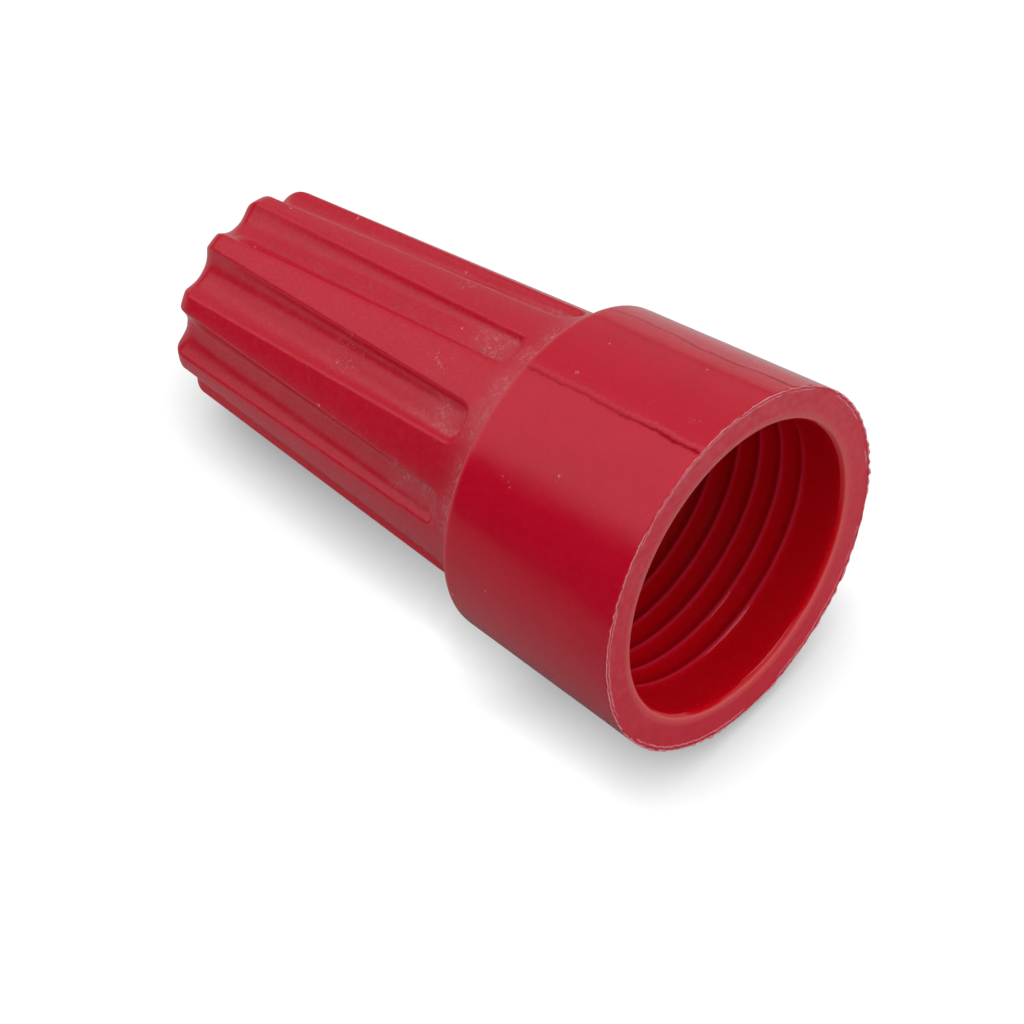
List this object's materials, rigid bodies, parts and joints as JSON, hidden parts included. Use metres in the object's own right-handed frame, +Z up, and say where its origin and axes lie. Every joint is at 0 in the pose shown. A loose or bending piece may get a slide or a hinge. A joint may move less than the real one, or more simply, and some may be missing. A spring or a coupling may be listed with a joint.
{
  "type": "twist wire connector",
  "caption": "Twist-on wire connector: a stepped, tapered plastic shell with a grooved grip and threaded mouth, lined in the tail with a conical square-wire spring.",
  "frame": {"origin": "middle of the footprint box, on the table that the connector lies on", "axes": "+Z up from the table; +X out of the mouth, seen from above; the connector's own axis leans 9.24 degrees mouth-up from +X; +Y across"},
  "size_m": [0.0294, 0.0166, 0.0172],
  "materials": {
    "shell_plastic": "moulded thermoplastic, satin on the tail and glossier on the skirt",
    "spring_steel": "bright zinc-plated square wire"
  },
  "bodies": {
    "root": {"shell": "shell_plastic", "spring_insert": "spring_steel"}
  },
  "joints": []
}
